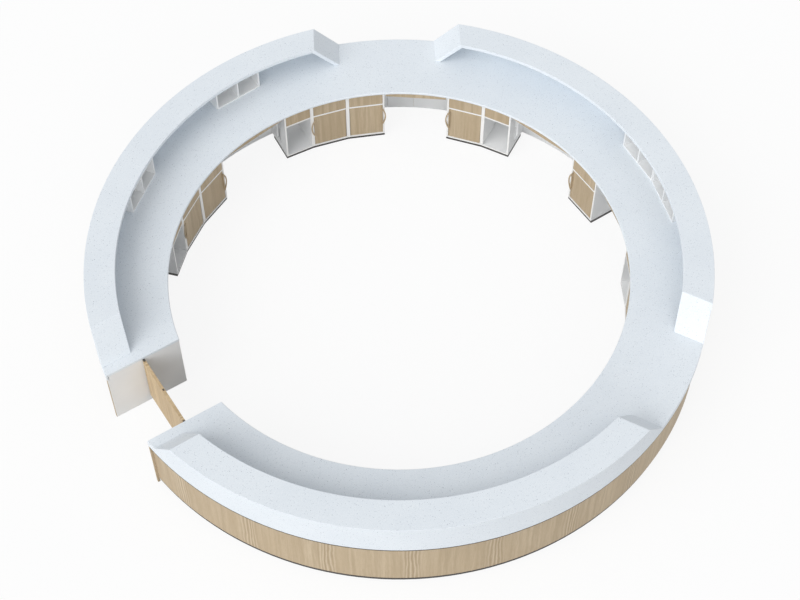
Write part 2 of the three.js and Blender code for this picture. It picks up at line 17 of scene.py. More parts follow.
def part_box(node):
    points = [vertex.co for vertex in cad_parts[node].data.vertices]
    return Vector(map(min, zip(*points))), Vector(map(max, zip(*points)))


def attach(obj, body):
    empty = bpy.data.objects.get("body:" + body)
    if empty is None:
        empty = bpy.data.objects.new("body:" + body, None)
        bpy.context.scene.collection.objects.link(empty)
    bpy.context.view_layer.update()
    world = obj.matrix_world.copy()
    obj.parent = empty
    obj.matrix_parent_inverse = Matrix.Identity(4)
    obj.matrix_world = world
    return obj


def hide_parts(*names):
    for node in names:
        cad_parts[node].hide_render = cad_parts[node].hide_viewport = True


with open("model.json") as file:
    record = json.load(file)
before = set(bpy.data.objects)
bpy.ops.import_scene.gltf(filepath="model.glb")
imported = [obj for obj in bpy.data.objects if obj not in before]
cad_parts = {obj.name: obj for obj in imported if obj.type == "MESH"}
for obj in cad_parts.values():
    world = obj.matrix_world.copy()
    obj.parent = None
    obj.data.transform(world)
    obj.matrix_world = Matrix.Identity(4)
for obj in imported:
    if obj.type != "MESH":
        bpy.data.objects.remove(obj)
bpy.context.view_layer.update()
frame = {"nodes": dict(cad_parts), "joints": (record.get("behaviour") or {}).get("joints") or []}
NODES = frame["nodes"]
JOINTS = {joint["child"]: joint for joint in frame["joints"]}

# Rounded edges of the boards
STONE_EDGE = 0.005
WORKTOP_EDGE = 0.009
BOARD_EDGE = 0.001
BAND_EDGE = 0.0003
OAK_EDGE = 0.0015

# Angles: faces shaded as one, edges that get rounded, one slice of the ring, and faces taken as flat
SMOOTH_ANGLE = math.radians(40)
SHARP_ANGLE = math.radians(25)
SLICE_ANGLE = math.radians(2)
FLAT_ANGLE = 0.01

# Tolerances: points in one place, points of the frame at one level, points to merge, and a face's direction
SAME_PLACE = 1e-6
SAME_LEVEL = 1e-4
MERGE_DISTANCE = 1e-5
FACES_AXIS = 0.7

# Search for the bearing at which a straight piece lies square
SEARCH_ANGLE = math.radians(0.05)
SEARCH_STEPS = 100

# Board thicknesses and gaps
COUNTER_THICKNESS = 0.040
CARCASS_BOARD = 0.018
CARCASS_BACK = 0.008
EDGE_BAND = 0.001
FRONT_BOARD = 0.018
FRONT_GAP = 0.002
DOOR_RECESS = 0.006
DRAWER_BOARD = 0.012
DRAWER_BOTTOM = 0.008
DRAWER_BOX_DROP = 0.050
DRAWER_SIDE_CLEARANCE = 0.0008
CARCASS_BACK_CLEARANCE = 0.003
LINING_PANEL = math.radians(12.61)
LINING_JOINT = 0.002
GABLE_BOARD = 0.018
GABLE_LAP = 0.005
PIGEONHOLE_BOARD = 0.018
LIPPING = 0.003
# Height and inset of the dark strip under the fascia, which is a painted shadow
PAINTED_SHADOW_HEIGHT = 0.014
PAINTED_SHADOW_INSET = 0.002

# Bow pulls of the doors, cable slots of the bays, and the catch of the gates
PULL_LENGTH = 0.280
PULL_RISE = 0.050
PULL_BAND = 0.013
PULL_LAP = 0.012
PULL_STEM_WIDTH = 0.010
PULL_STEM_LENGTH = 0.230
PULL_THICKNESS = 0.010
PULL_EDGE = 0.003
PULL_STANDOFF = 0.006
PULL_SEGMENTS = 160
SLOT_RISE = 0.062
SLOT_SHELF_GAP = 0.010
SLOT_DISTANCE = 0.194
SLOT_WIDTH = 0.100
HINGE_RADIUS = 0.004
HINGE_ENGAGEMENT = 0.005
HINGE_SEGMENTS = 24
HINGE_EDGE = 0.0005
CATCH_SIZE = Vector((0.022, 0.014, 0.0025))
HALF_ROUND = 0.495
HALF_ROUND_SEGMENTS = 6

# Width of one leaf of veneer. The figured stripe lies half a leaf from the middle of each piece.
VENEER_LEAF = 0.77


# Material nodes
def add_node(tree, kind, inputs=None, **settings):
    """Adds a node; an input is a value or another node's output."""
    made = tree.nodes.new(kind)
    for key, value in settings.items():
        setattr(made, key, value)
    for socket, value in (inputs or {}).items():
        if isinstance(value, bpy.types.NodeSocket):
            tree.links.new(value, made.inputs[socket])
        else:
            made.inputs[socket].default_value = value
    return made


def math_node(tree, operation, *values):
    inputs = dict(enumerate(values))
    return add_node(tree, "ShaderNodeMath", inputs, operation=operation).outputs[0]


def mix_colour(tree, factor, first, second, blend="MIX"):
    mixer = add_node(tree, "ShaderNodeMix", data_type="RGBA", blend_type=blend)
    for socket, value in zip((mixer.inputs[0], mixer.inputs[6], mixer.inputs[7]), (factor, first, second)):
        if isinstance(value, bpy.types.NodeSocket):
            tree.links.new(value, socket)
        else:
            socket.default_value = value
    return mixer.outputs[2]


def noise(tree, vector, scale, detail=2.0, roughness=0.5):
    inputs = {"Vector": vector, "Scale": scale, "Detail": detail, "Roughness": roughness}
    return add_node(tree, "ShaderNodeTexNoise", inputs).outputs["Fac"]


def ramp(tree, value, low, high):
    """Smooth step from 0 at low to 1 at high."""
    inputs = {"Value": value, "From Min": low, "From Max": high}
    return add_node(tree, "ShaderNodeMapRange", inputs, interpolation_type="SMOOTHSTEP").outputs[0]


def start_material(name):
    material = bpy.data.materials.new(name)
    material.use_nodes = True
    tree = material.node_tree
    shader = tree.nodes["Principled BSDF"]
    return material, tree, shader


def object_coordinates(tree):
    return add_node(tree, "ShaderNodeTexCoord").outputs["Object"]


def bump(tree, shader, height, strength, distance):
    inputs = {"Height": height, "Strength": strength, "Distance": distance}
    made = add_node(tree, "ShaderNodeBump", inputs)
    tree.links.new(made.outputs[0], shader.inputs["Normal"])


def chips(tree, place, scale, size, share):
    """Mask of round chips: each cell has one chip if its random share says so."""
    cells = add_node(tree, "ShaderNodeTexVoronoi", {"Vector": place, "Scale": scale}, feature="F1")
    near = math_node(tree, "LESS_THAN", cells.outputs["Distance"], size)
    tint = add_node(tree, "ShaderNodeSeparateColor", {"Color": cells.outputs["Color"]})
    chosen = math_node(tree, "LESS_THAN", tint.outputs[0], share)
    return math_node(tree, "MULTIPLY", near, chosen)


def solid_surface():
    """White mineral-filled acrylic with fine grey and pale chips."""
    material, tree, shader = start_material("speckled_solid_surface")
    place = object_coordinates(tree)
    cloud = ramp(tree, noise(tree, place, 2.2, 3.0), 0.3, 0.7)
    colour = mix_colour(tree, cloud, (0.778, 0.828, 0.876, 1), (0.805, 0.853, 0.897, 1))
    colour = mix_colour(tree, chips(tree, place, 230, 0.34, 0.42), colour, (0.655, 0.70, 0.75, 1))
    colour = mix_colour(tree, chips(tree, place, 140, 0.30, 0.30), colour, (0.895, 0.92, 0.94, 1))
    colour = mix_colour(tree, chips(tree, place, 85, 0.26, 0.16), colour, (0.50, 0.545, 0.60, 1))
    colour = mix_colour(tree, chips(tree, place, 48, 0.17, 0.07), colour, (0.36, 0.39, 0.44, 1))
    tree.links.new(colour, shader.inputs["Base Color"])
    haze = noise(tree, place, 35, 3.0)
    tree.links.new(ramp(tree, haze, -0.9, 1.7), shader.inputs["Roughness"])
    bump(tree, shader, haze, 0.04, 0.0006)
    return material


def white_board():
    """White melamine board with a faint pearl texture."""
    material, tree, shader = start_material("white_melamine")
    place = object_coordinates(tree)
    cloud = ramp(tree, noise(tree, place, 3.5, 3.0), 0.3, 0.7)
    colour = mix_colour(tree, cloud, (0.828, 0.834, 0.836, 1), (0.858, 0.862, 0.861, 1))
    tree.links.new(colour, shader.inputs["Base Color"])
    pearl = noise(tree, place, 420, 2.0)
    tree.links.new(ramp(tree, pearl, -0.8, 1.9), shader.inputs["Roughness"])
    bump(tree, shader, pearl, 0.08, 0.0004)
    return material


def edge_band():
    """Smooth white plastic strip on the front edges of the cabinet boards, coloured brighter than the boards
    as a painted highlight of the lit edges.
    """
    material, tree, shader = start_material("white_edge_band")
    cloud = noise(tree, object_coordinates(tree), 60, 2.0)
    colour = mix_colour(tree, cloud, (0.915, 0.910, 0.895, 1), (0.945, 0.940, 0.925, 1))
    tree.links.new(colour, shader.inputs["Base Color"])
    tree.links.new(ramp(tree, cloud, -0.8, 2.4), shader.inputs["Roughness"])
    return material


def oak_veneer(name, tint):
    """Light oak with upright grain. The grain map holds metres across and along the grain."""
    material, tree, shader = start_material(name)
    grain = add_node(tree, "ShaderNodeUVMap", uv_map="grain").outputs[0]
    parts = add_node(tree, "ShaderNodeSeparateXYZ", {"Vector": grain})
    across, along = parts.outputs[0], parts.outputs[1]

    def stretched(across_scale, along_scale, offset=0.0):
        inputs = {
            "X": math_node(tree, "MULTIPLY", wavy, across_scale),
            "Y": math_node(tree, "MULTIPLY", along, along_scale),
            "Z": offset,
        }
        return add_node(tree, "ShaderNodeCombineXYZ", inputs).outputs[0]

    wavy = across
    sway = noise(tree, stretched(5, 2.4), 1.0, 2.0)
    wavy = math_node(tree, "MULTIPLY_ADD", math_node(tree, "SUBTRACT", sway, 0.5), 0.035, across)
    bands = ramp(tree, noise(tree, stretched(26, 0.9, 3.0), 1.0, 4.0, 0.6), 0.32, 0.68)
    fibre = noise(tree, stretched(330, 9, 7.0), 1.0, 4.0, 0.6)
    pores = ramp(tree, noise(tree, stretched(700, 38, 11.0), 1.0, 2.0), 0.60, 0.70)
    broad = ramp(tree, noise(tree, stretched(4.5, 0.5, 17.0), 1.0, 2.0), 0.35, 0.65)

    leaves = math_node(tree, "DIVIDE", across, VENEER_LEAF)
    half_leaf = math_node(tree, "FLOOR", math_node(tree, "MULTIPLY_ADD", leaves, 2.0, 0.5))
    leaf_noise = add_node(tree, "ShaderNodeTexWhiteNoise", {"W": half_leaf}, noise_dimensions="1D")
    tone = leaf_noise.outputs["Value"]
    leaf = math_node(tree, "FRACT", math_node(tree, "DIVIDE", wavy, VENEER_LEAF))
    from_heart = math_node(tree, "ABSOLUTE", math_node(tree, "SUBTRACT", leaf, 0.5))
    figured = math_node(tree, "SUBTRACT", 1.0, ramp(tree, from_heart, 0.03, 0.15))
    wave_inputs = {
        "Vector": stretched(9.5, 1.3, 23.0), "Scale": 1.0,
        "Distortion": 5.5, "Detail": 3.0, "Detail Scale": 1.4,
    }
    wave = add_node(tree, "ShaderNodeTexWave", wave_inputs, wave_type="BANDS", bands_direction="X")
    arches = wave.outputs["Fac"]
    arch_dark = math_node(tree, "MULTIPLY", ramp(tree, arches, 0.55, 0.95), figured)
    arch_pale = math_node(tree, "MULTIPLY", ramp(tree, arches, 0.40, 0.05), figured)

    colour = mix_colour(tree, bands, (0.605, 0.490, 0.340, 1), (0.440, 0.340, 0.218, 1))
    colour = mix_colour(tree, math_node(tree, "MULTIPLY", broad, 0.6), colour, (0.490, 0.380, 0.244, 1))
    colour = mix_colour(tree, math_node(tree, "MULTIPLY", tone, 0.36), colour, (0.445, 0.342, 0.216, 1))
    colour = mix_colour(tree, math_node(tree, "MULTIPLY", arch_dark, 0.70), colour, (0.360, 0.262, 0.157, 1))
    colour = mix_colour(tree, math_node(tree, "MULTIPLY", arch_pale, 0.60), colour, (0.665, 0.562, 0.412, 1))
    streak = math_node(tree, "MULTIPLY", ramp(tree, fibre, 0.42, 0.72), 0.34)
    colour = mix_colour(tree, streak, colour, (0.388, 0.292, 0.182, 1))
    colour = mix_colour(tree, math_node(tree, "MULTIPLY", pores, 0.32), colour, (0.262, 0.185, 0.108, 1))
    colour = mix_colour(tree, 1.0, colour, tint, "MULTIPLY")
    tree.links.new(colour, shader.inputs["Base Color"])
    tree.links.new(ramp(tree, fibre, -0.7, 1.5), shader.inputs["Roughness"])
    bump(tree, shader, fibre, 0.12, 0.0006)
    return material


def grained(name, pale, dark, scale, roughness):
    """Plain board with streaks along Z on Object coordinates."""
    material, tree, shader = start_material(name)
    mapping = {"Vector": object_coordinates(tree), "Scale": scale}
    place = add_node(tree, "ShaderNodeMapping", mapping).outputs[0]
    streaks = noise(tree, place, 1.0, 4.0, 0.6)
    colour = mix_colour(tree, ramp(tree, streaks, 0.3, 0.7), pale, dark)
    tree.links.new(colour, shader.inputs["Base Color"])
    shader.inputs["Roughness"].default_value = roughness
    bump(tree, shader, streaks, 0.15, 0.0006)
    return material


def dark_steel():
    """Dark bronze powder coat with a fine grainy skin."""
    material, tree, shader = start_material("dark_powder_coat")
    skin = noise(tree, object_coordinates(tree), 900, 2.0)
    colour = mix_colour(tree, skin, (0.040, 0.034, 0.029, 1), (0.075, 0.066, 0.057, 1))
    tree.links.new(colour, shader.inputs["Base Color"])
    shader.inputs["Roughness"].default_value = 0.45
    bump(tree, shader, skin, 0.2, 0.0003)
    return material


SOFTWOOD_COLOURS = ((0.60, 0.43, 0.24, 1), (0.47, 0.31, 0.15, 1))
SKIRTING_COLOURS = ((0.050, 0.043, 0.037, 1), (0.026, 0.022, 0.019, 1))
FINISHES = {
    "solid_surface": solid_surface(),
    "white_board": white_board(),
    "edge_band": edge_band(),
    "oak": oak_veneer("light_oak_veneer", (1, 1, 1, 1)),
    # The gate's oak is a warmer and lighter copy of the oak; its extra lightness is painted light on the
    # gate's outer face
    "gate_oak": oak_veneer("honey_oak_veneer", (1.16, 1.10, 0.98, 1)),
    "softwood": grained("raw_softwood", *SOFTWOOD_COLOURS, (40, 40, 3), 0.75),
    "dark_skirting": grained("dark_laminate", *SKIRTING_COLOURS, (60, 60, 9), 0.55),
    "black_steel": dark_steel(),
}
piece_numbers = itertools.count(1)


# Mesh helpers
def add_box(bm, low, high):
    size = Vector(high) - Vector(low)
    middle = (Vector(high) + Vector(low)) / 2
    return bmesh.ops.create_cube(bm, size=1, matrix=Matrix.LocRotScale(middle, None, size))["verts"]


def round_edges(bm, edges, radius, segments=2):
    bmesh.ops.bevel(
        bm, geom=edges, offset=radius, offset_type="OFFSET", affect="EDGES",
        segments=segments, profile=0.5, material=-1, clamp_overlap=True,
    )


def sharp_edges(bm):
    bm.normal_update()
    return [e for e in bm.edges if e.is_convex and e.calc_face_angle(0) > SHARP_ANGLE]


def off_seams(edges, seams):
    """The edges that do not lie in the plane of a seam, given by its x."""
    def in_plane(edge, x):
        return all(abs(vert.co.x - x) < SAME_PLACE for vert in edge.verts)

    return [edge for edge in edges if not any(in_plane(edge, x) for x in seams)]


def add_board(bm, low, high, radius=BOARD_EDGE, seams=()):
    """Board between two corners, with edges rounded except at its seams."""
    verts = add_box(bm, low, high)
    edges = {edge for vert in verts for edge in vert.link_edges}
    round_edges(bm, off_seams(edges, seams), radius)


def cut_plane(bm, point, normal, **options):
    """Cuts a whole mesh by a plane."""
    everything = bm.verts[:] + bm.edges[:] + bm.faces[:]
    bmesh.ops.bisect_plane(bm, geom=everything, plane_co=point, plane_no=normal, **options)


def joined_boxes(boxes):
    """One closed shell of boxes that share whole faces."""
    bm = bmesh.new()
    for low, high in boxes:
        add_box(bm, low, high)
    met = {}
    for face in bm.faces:
        key = tuple(round(value, 5) for value in face.calc_center_median())
        met.setdefault(key, []).append(face)
    shared = [face for faces in met.values() if len(faces) > 1 for face in faces]
    bmesh.ops.delete(bm, geom=shared, context="FACES")
    bmesh.ops.remove_doubles(bm, verts=bm.verts, dist=MERGE_DISTANCE)
    bmesh.ops.dissolve_limit(bm, angle_limit=FLAT_ANGLE, verts=bm.verts, edges=bm.edges)
    return bm


def cut_window(bm, axis, ranges):
    """Cuts a hole along an axis through a board: ranges give the hole's extent on the other axes."""
    for other, limits in ranges.items():
        normal = Vector((0, 0, 0))
        normal[other] = 1
        for limit in limits:
            cut_plane(bm, normal * limit, normal, dist=SAME_PLACE)
    bm.normal_update()
    inside = [
        face for face in bm.faces
        if abs(face.normal[axis]) > FACES_AXIS
        and all(low < face.calc_center_median()[other] < high for other, (low, high) in ranges.items())
    ]
    rims = {edge for face in inside for edge in face.edges}
    bmesh.ops.delete(bm, geom=inside, context="FACES_ONLY")
    bmesh.ops.bridge_loops(bm, edges=list(rims))


def lay_grain(bm):
    """Writes metres across and along an upright grain as the map of a straight piece."""
    shift = VENEER_LEAF * next(piece_numbers)
    bm.normal_update()
    layer = bm.loops.layers.uv.new("grain")
    for face in bm.faces:
        is_end = abs(face.normal.z) > FACES_AXIS
        is_side = abs(face.normal.x) > FACES_AXIS
        for loop in face.loops:
            x, y, z = loop.vert.co
            loop[layer].uv = ((y if is_side else x) + shift, y if is_end else z)


def merge(target, source, matrix=Matrix.Identity(4)):
    """Adds one mesh, moved by a matrix, to another and frees it."""
    bmesh.ops.transform(source, matrix=matrix, verts=source.verts)
    scratch = bpy.data.meshes.new("scratch")
    source.to_mesh(scratch)
    source.free()
    target.from_mesh(scratch)
    bpy.data.meshes.remove(scratch)


def finish_piece(name, bm, slot, body="desk", node=None, finish=None):
    """Turns a mesh into a piece that rides on a body and may stand for a node.

    The slot names its finish, unless a finish is given.
    """
    bmesh.ops.recalc_face_normals(bm, faces=bm.faces)
    mesh = bpy.data.meshes.new(name)
    bm.to_mesh(mesh)
    bm.free()
    mesh.shade_smooth()
    mesh.set_sharp_from_angle(angle=SMOOTH_ANGLE)
    mesh.materials.append(FINISHES[finish or slot])
    made = bpy.data.objects.new(name, mesh)
    bpy.context.scene.collection.objects.link(made)
    made.modifiers.new("even_normals", "WEIGHTED_NORMAL").keep_sharp = True
    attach(made, body)
    if node:
        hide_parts(node)


def refinish(node, finish):
    """Puts a finish on a node that shows as it is."""
    materials = NODES[node].data.materials
    materials.clear()
    materials.append(FINISHES[finish])


# Places taken from the frame
def bearing_of(vector):
    return math.atan2(vector[1], vector[0])


def turned(bearing):
    """Matrix from a unit's own frame, with y along the bearing, to the desk's frame."""
    return Matrix.Rotation(bearing - math.pi / 2, 4, "Z")


def place_turned(name, bm, bearing, slot, body="desk", node=None, finish=None):
    """Finishes a piece that was modelled in a unit's own frame."""
    bmesh.ops.transform(bm, matrix=turned(bearing), verts=bm.verts)
    finish_piece(name, bm, slot, body, node, finish)


def points_of(node, bearing=math.pi / 2):
    back = turned(bearing).inverted()
    return [back @ vert.co for vert in NODES[node].data.vertices]


def corners_of(node, bearing):
    points = points_of(node, bearing)
    return Vector(map(min, *points)), Vector(map(max, *points))


def ring_size(node):
    """Inner radius, outer radius, foot and top of a ring node."""
    radii = [point.xy.length for point in points_of(node)]
    low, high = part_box(node)
    return min(radii), max(radii), low.z, high.z


def end_offset(node, bearing):
    """How far a ring node stops short of the line along a bearing."""
    return min(abs(point.x) for point in points_of(node, bearing) if point.y > 0)


GATE_SIDES = ("left", "front")
GATE_POSTS = {side: Vector(JOINTS[f"gate_leaf_{side}"]["pos_m"]) for side in GATE_SIDES}
ENTRANCE = bearing_of(GATE_POSTS["left"] + GATE_POSTS["front"])
SECTION_ANGLE = 2 * math.pi / 3
SECTION_STARTS = {
    "left": ENTRANCE - SECTION_ANGLE,
    "right": ENTRANCE - 2 * SECTION_ANGLE,
    "front": ENTRANCE,
}


# Wrapping straight boards round the ring
def from_start(section, offset):
    """Bearing, at a radius, of the line that lies an offset past the section's start."""
    return lambda radius, z: SECTION_STARTS[section] + math.asin(offset(z) / radius)


def from_end(section, offset):
    """The same, short of the section's end."""
    return lambda radius, z: SECTION_STARTS[section] + SECTION_ANGLE - math.asin(offset(z) / radius)


def slice_straight(bm, stations, radius):
    """Cuts a straight model across, so that it can follow the ring."""
    length = stations[-1][0]
    count = round(length / (radius * SLICE_ANGLE))
    for step in range(1, count):
        cut_plane(bm, (length * step / count, 0, 0), (1, 0, 0), dist=MERGE_DISTANCE)


def wrap(bm, stations):
    """Moves each point of a straight model to its bearing, radius and height."""
    for vert in bm.verts:
        x, radius, z = vert.co
        for (x0, first), (x1, last) in zip(stations, stations[1:]):
            if x <= x1:
                break
        share = (x - x0) / (x1 - x0)
        bearing = first(radius, z) * (1 - share) + last(radius, z) * share
        vert.co = (radius * math.cos(bearing), radius * math.sin(bearing), z)


def whole_section(section, node, radius):
    """Stations at the two ends of a ring node."""
    start = SECTION_STARTS[section]
    offsets = [end_offset(node, start), end_offset(node, start + SECTION_ANGLE)]
    first = from_start(section, lambda z: offsets[0])
    last = from_end(section, lambda z: offsets[1])
    length = radius * (last(radius, 0) - first(radius, 0))
    return [(0, first), (length, last)]


def seam_ends(section, length):
    """Where a straight section butts against its neighbour; any other end is at the entrance."""
    start = SECTION_STARTS[section]
    ends = ((0, start), (length, start + SECTION_ANGLE))
    return [x for x, bearing in ends if abs(bearing - ENTRANCE) > SLICE_ANGLE]


def worktop_slab(section):
    """Worktop of one section, rounded where it faces the inside; its outer edge butts on the fascia."""
    node = f"worktop_{section}"
    inner, outer, foot, top = ring_size(node)
    stations = whole_section(section, node, outer)
    bm = bmesh.new()
    add_box(bm, (0, inner, foot), (stations[-1][0], outer, top))
    facing_in = [e for e in bm.edges if all(abs(vert.co.y - inner) < SAME_PLACE for vert in e.verts)]
    round_edges(bm, off_seams(facing_in, (0, stations[-1][0])), WORKTOP_EDGE, 3)
    slice_straight(bm, stations, outer)
    wrap(bm, stations)
    finish_piece(f"{node}_slab", bm, "solid_surface", node=node)


def ring_board(kind, section, slot, suffix):
    """Board of one section with the size of its node."""
    node = f"{kind}_{section}"
    inner, outer, foot, top = ring_size(node)
    stations = whole_section(section, node, outer)
    length = stations[-1][0]
    bm = bmesh.new()
    add_board(bm, (0, inner, foot), (length, outer, top), OAK_EDGE, seam_ends(section, length))
    slice_straight(bm, stations, outer)
    if slot == "oak":
        lay_grain(bm)
    wrap(bm, stations)
    finish_piece(f"{node}_{suffix}", bm, slot, node=node)


def middles_of_groups(bearings):
    """Middle of each group of bearings; a wider gap parts two groups."""
    groups = []
    for bearing in sorted(bearings):
        if not groups or bearing - groups[-1][-1] > SLICE_ANGLE:
            groups.append([])
        groups[-1].append(bearing)
    return [(group[0] + group[-1]) / 2 for group in groups]


# Lining without gables, which gives the radii of all
PLAIN_LINING = "lining_left"


def lining_panels(section):
    """White panels behind the knee spaces, with fine joints, and gables that carry the worktop."""
    node = f"lining_{section}"
    inner, outer, foot, top = ring_size(PLAIN_LINING)
    stations = whole_section(section, node, outer)
    length = stations[-1][0]
    # Joints lie at even steps from the entrance
    panel = outer * LINING_PANEL
    cut = panel - outer * (SECTION_STARTS[section] - ENTRANCE) % panel
    cuts = [0.0]
    while cut < length:
        cuts.append(cut)
        cut += panel
    cuts.append(length)
    bm = bmesh.new()
    half = LINING_JOINT / 2
    for begin, end in zip(cuts, cuts[1:]):
        if end - begin > 2 * LINING_JOINT:
            add_board(bm, (begin + half, inner, foot), (end - half, outer, top))
    slice_straight(bm, stations, outer)
    wrap(bm, stations)
    # Only the gables of the node reach further in than the panels
    front_edges = [point for point in points_of(node) if point.xy.length < inner - GABLE_BOARD]
    for bearing in middles_of_groups(bearing_of(point) for point in front_edges):
        gable = bmesh.new()
        low = (-GABLE_BOARD / 2, front_edges[0].xy.length, foot)
        add_board(gable, low, (GABLE_BOARD / 2, inner + GABLE_LAP, top))
        merge(bm, gable, turned(bearing))
    finish_piece(f"{node}_panels", bm, "white_board", node=node)


def counter_shell(section):
    """Raised counter with its fascia, the drop edge below it and the sloping slabs at both ends."""
    node = f"counter_{section}"
    start = SECTION_STARTS[section]
    inner, outer, foot, top = ring_size(node)
    _, fascia_inner, _, low_top = ring_size(f"worktop_{section}")
    ceiling = top - COUNTER_THICKNESS
    heights = sorted({round(point.z, 4) for point in points_of(node)})
    raised_foot = next(z for z in heights if z > low_top)

    def half_width(height):
        """Half the low space's width at a height, from the sloping end at the section's start."""
        level = [p for p in points_of(node, start) if abs(p.z - height) < SAME_LEVEL and p.y > 0]
        return min(abs(p.x) for p in level if p.xy.length < fascia_inner)

    wide, narrow = half_width(top), half_width(raised_foot)
    slope = (wide - narrow) / (top - raised_foot)
    slab = COUNTER_THICKNESS * math.hypot(1, slope)

    def low_space(extra):
        return lambda z: narrow + extra + slope * max(z - raised_foot, 0)

    # Marks along the section: its ends, and both faces of the sloping slabs
    ends = whole_section(section, node, outer)
    marks = [
        ends[0][1],
        from_start(section, low_space(0)),
        from_start(section, low_space(slab)),
        from_end(section, low_space(slab)),
        from_end(section, low_space(0)),
        ends[1][1],
    ]
    first = marks[0](outer, low_top)
    xs = [outer * (mark(outer, low_top) - first) for mark in marks]

    # The fascia's lower band runs from end to end.
    # The rest lies between the low spaces, and is hollow between the slabs.
    boxes = [((x0, fascia_inner, foot), (x1, outer, raised_foot)) for x0, x1 in zip(xs, xs[1:])]
    for index, (x0, x1) in enumerate(zip(xs[1:-1], xs[2:-1])):
        boxes.append(((x0, fascia_inner, raised_foot), (x1, outer, ceiling)))
        boxes.append(((x0, fascia_inner, ceiling), (x1, outer, top)))
        boxes.append(((x0, inner, ceiling), (x1, fascia_inner, top)))
        if index != 1:
            boxes.append(((x0, inner, raised_foot), (x1, fascia_inner, ceiling)))
    bm = joined_boxes(boxes)

    # The edge where the fascia butts on the worktop stays sharp
    butted = Vector((0, fascia_inner, raised_foot))
    edges = [
        edge for edge in off_seams(sharp_edges(bm), seam_ends(section, xs[-1]))
        if any((vert.co - butted).yz.length > SAME_PLACE for vert in edge.verts)
    ]
    round_edges(bm, edges, STONE_EDGE)
    stations = list(zip(xs, marks))
    slice_straight(bm, stations, outer)
    wrap(bm, stations)
    finish_piece(f"{node}_shell", bm, "solid_surface", node=node)


def painted_shadow_strip(section):
    """Dark strip under the fascia, between it and the oak: a painted shadow for the shade under the fascia's
    overhang.
    """
    inner = ring_size(f"worktop_{section}")[1]
    _, outer, foot, _ = ring_size(f"counter_{section}")
    stations = whole_section(section, f"cladding_{section}", outer)
    bm = bmesh.new()
    low = (0, inner + PAINTED_SHADOW_INSET, foot - PAINTED_SHADOW_HEIGHT)
    add_box(bm, low, (stations[-1][0], outer - PAINTED_SHADOW_INSET, foot))
    slice_straight(bm, stations, outer)
    wrap(bm, stations)
    finish_piece(f"counter_{section}_painted_shadow_strip", bm, "dark_skirting")


for section in SECTION_STARTS:
    worktop_slab(section)
    painted_shadow_strip(section)
    ring_board("cladding", section, "oak", "veneer")
    ring_board("skirting", section, "dark_skirting", "board")
    counter_shell(section)
    lining_panels(section)
    refinish(f"body_frame_{section}", "softwood")


# Entrance: end panels and swing gates
def upright_edges(bm, x):
    """Upright edges that lie at x."""
    found = []
    for edge in bm.edges:
        first, second = (vert.co for vert in edge.verts)
        if max(abs(first.x - x), abs(second.x - x), abs(first.y - second.y)) < SAME_PLACE:
            found.append(edge)
    return found


def hinged_board(low, high, round_x):
    """Oak board whose upright edge at round_x is a half round, so that it can turn in its frame."""
    bm = bmesh.new()
    add_box(bm, low, high)
    round_edges(bm, upright_edges(bm, round_x), (high[1] - low[1]) * HALF_ROUND, HALF_ROUND_SEGMENTS)
    round_edges(bm, sharp_edges(bm), OAK_EDGE)
    lay_grain(bm)
    return bm


def end_panel_pieces(node, sign):
    """White end panel whose outer strip stops below the fascia, lipped with oak outside."""
    low, high = corners_of(node, ENTRANCE)
    points = points_of(node, ENTRANCE)
    notch_y = max(point.y for point in points if point.z > high.z - SAME_LEVEL)
    notch_z = max(point.z for point in points if point.y > high.y - SAME_LEVEL)
    face, back = (low.x, high.x) if sign > 0 else (high.x, low.x)
    lip_x = back - sign * LIPPING
    lip_y = high.y - LIPPING
    bm = bmesh.new()
    add_board(bm, (low.x, low.y, low.z), (high.x, notch_y, high.z), OAK_EDGE)
    add_board(bm, (min(face, lip_x), notch_y, low.z), (max(face, lip_x), lip_y, notch_z))
    place_turned(f"{node}_board", bm, ENTRANCE, "white_board", node=node)

    bm = bmesh.new()
    add_board(bm, (low.x, lip_y, low.z), (high.x, high.y, notch_z))
    add_board(bm, (min(back, lip_x), notch_y, low.z), (max(back, lip_x), lip_y, notch_z))
    lay_grain(bm)
    place_turned(f"{node}_lipping", bm, ENTRANCE, "oak")


for side in GATE_SIDES:
    sign = 1 if side == "left" else -1
    end_panel_pieces(f"end_panel_{side}", sign)

    leaf = f"gate_leaf_{side}"
    low, high = corners_of(leaf, ENTRANCE)
    bm = hinged_board(low, high, high.x if sign > 0 else low.x)
    place_turned(f"{leaf}_board", bm, ENTRANCE, "oak", leaf, leaf, "gate_oak")
    refinish(f"gate_pivot_{side}", "black_steel")

low, high = corners_of("gate_leaf_left", ENTRANCE)
middle = (low + high) / 2
bm = bmesh.new()
catch_low = Vector((low.x + OAK_EDGE, middle.y - CATCH_SIZE.y / 2, high.z))
add_board(bm, catch_low, catch_low + CATCH_SIZE, BOARD_EDGE)
place_turned("gate_catch", bm, ENTRANCE, "black_steel", "gate_leaf_left")


def square_bearing(node):
    """Bearing at which a straight node lies square, so that its box is smallest."""
    low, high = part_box(node)
    guess = bearing_of((low + high) / 2)

    def plan_area(bearing):
        first, last = corners_of(node, bearing)
        return (last.x - first.x) * (last.y - first.y)

    steps = range(-SEARCH_STEPS, SEARCH_STEPS + 1)
    return min((guess + step * SEARCH_ANGLE for step in steps), key=plan_area)


# Pigeonhole units between worktop and counter
for node in [name for name in NODES if name.startswith("pigeonholes_")]:
    bearing = square_bearing(node)
    low, high = corners_of(node, bearing)
    board = PIGEONHOLE_BOARD
    bm = bmesh.new()
    add_board(bm, low, (high.x, high.y, low.z + board))
    add_board(bm, (low.x, low.y, high.z - board), high)
    for x in (low.x, (low.x + high.x - board) / 2, high.x - board):
        add_board(bm, (x, low.y, low.z + board), (x + board, high.y, high.z - board))
    place_turned(f"{node}_boards", bm, bearing, "white_board", node=node)


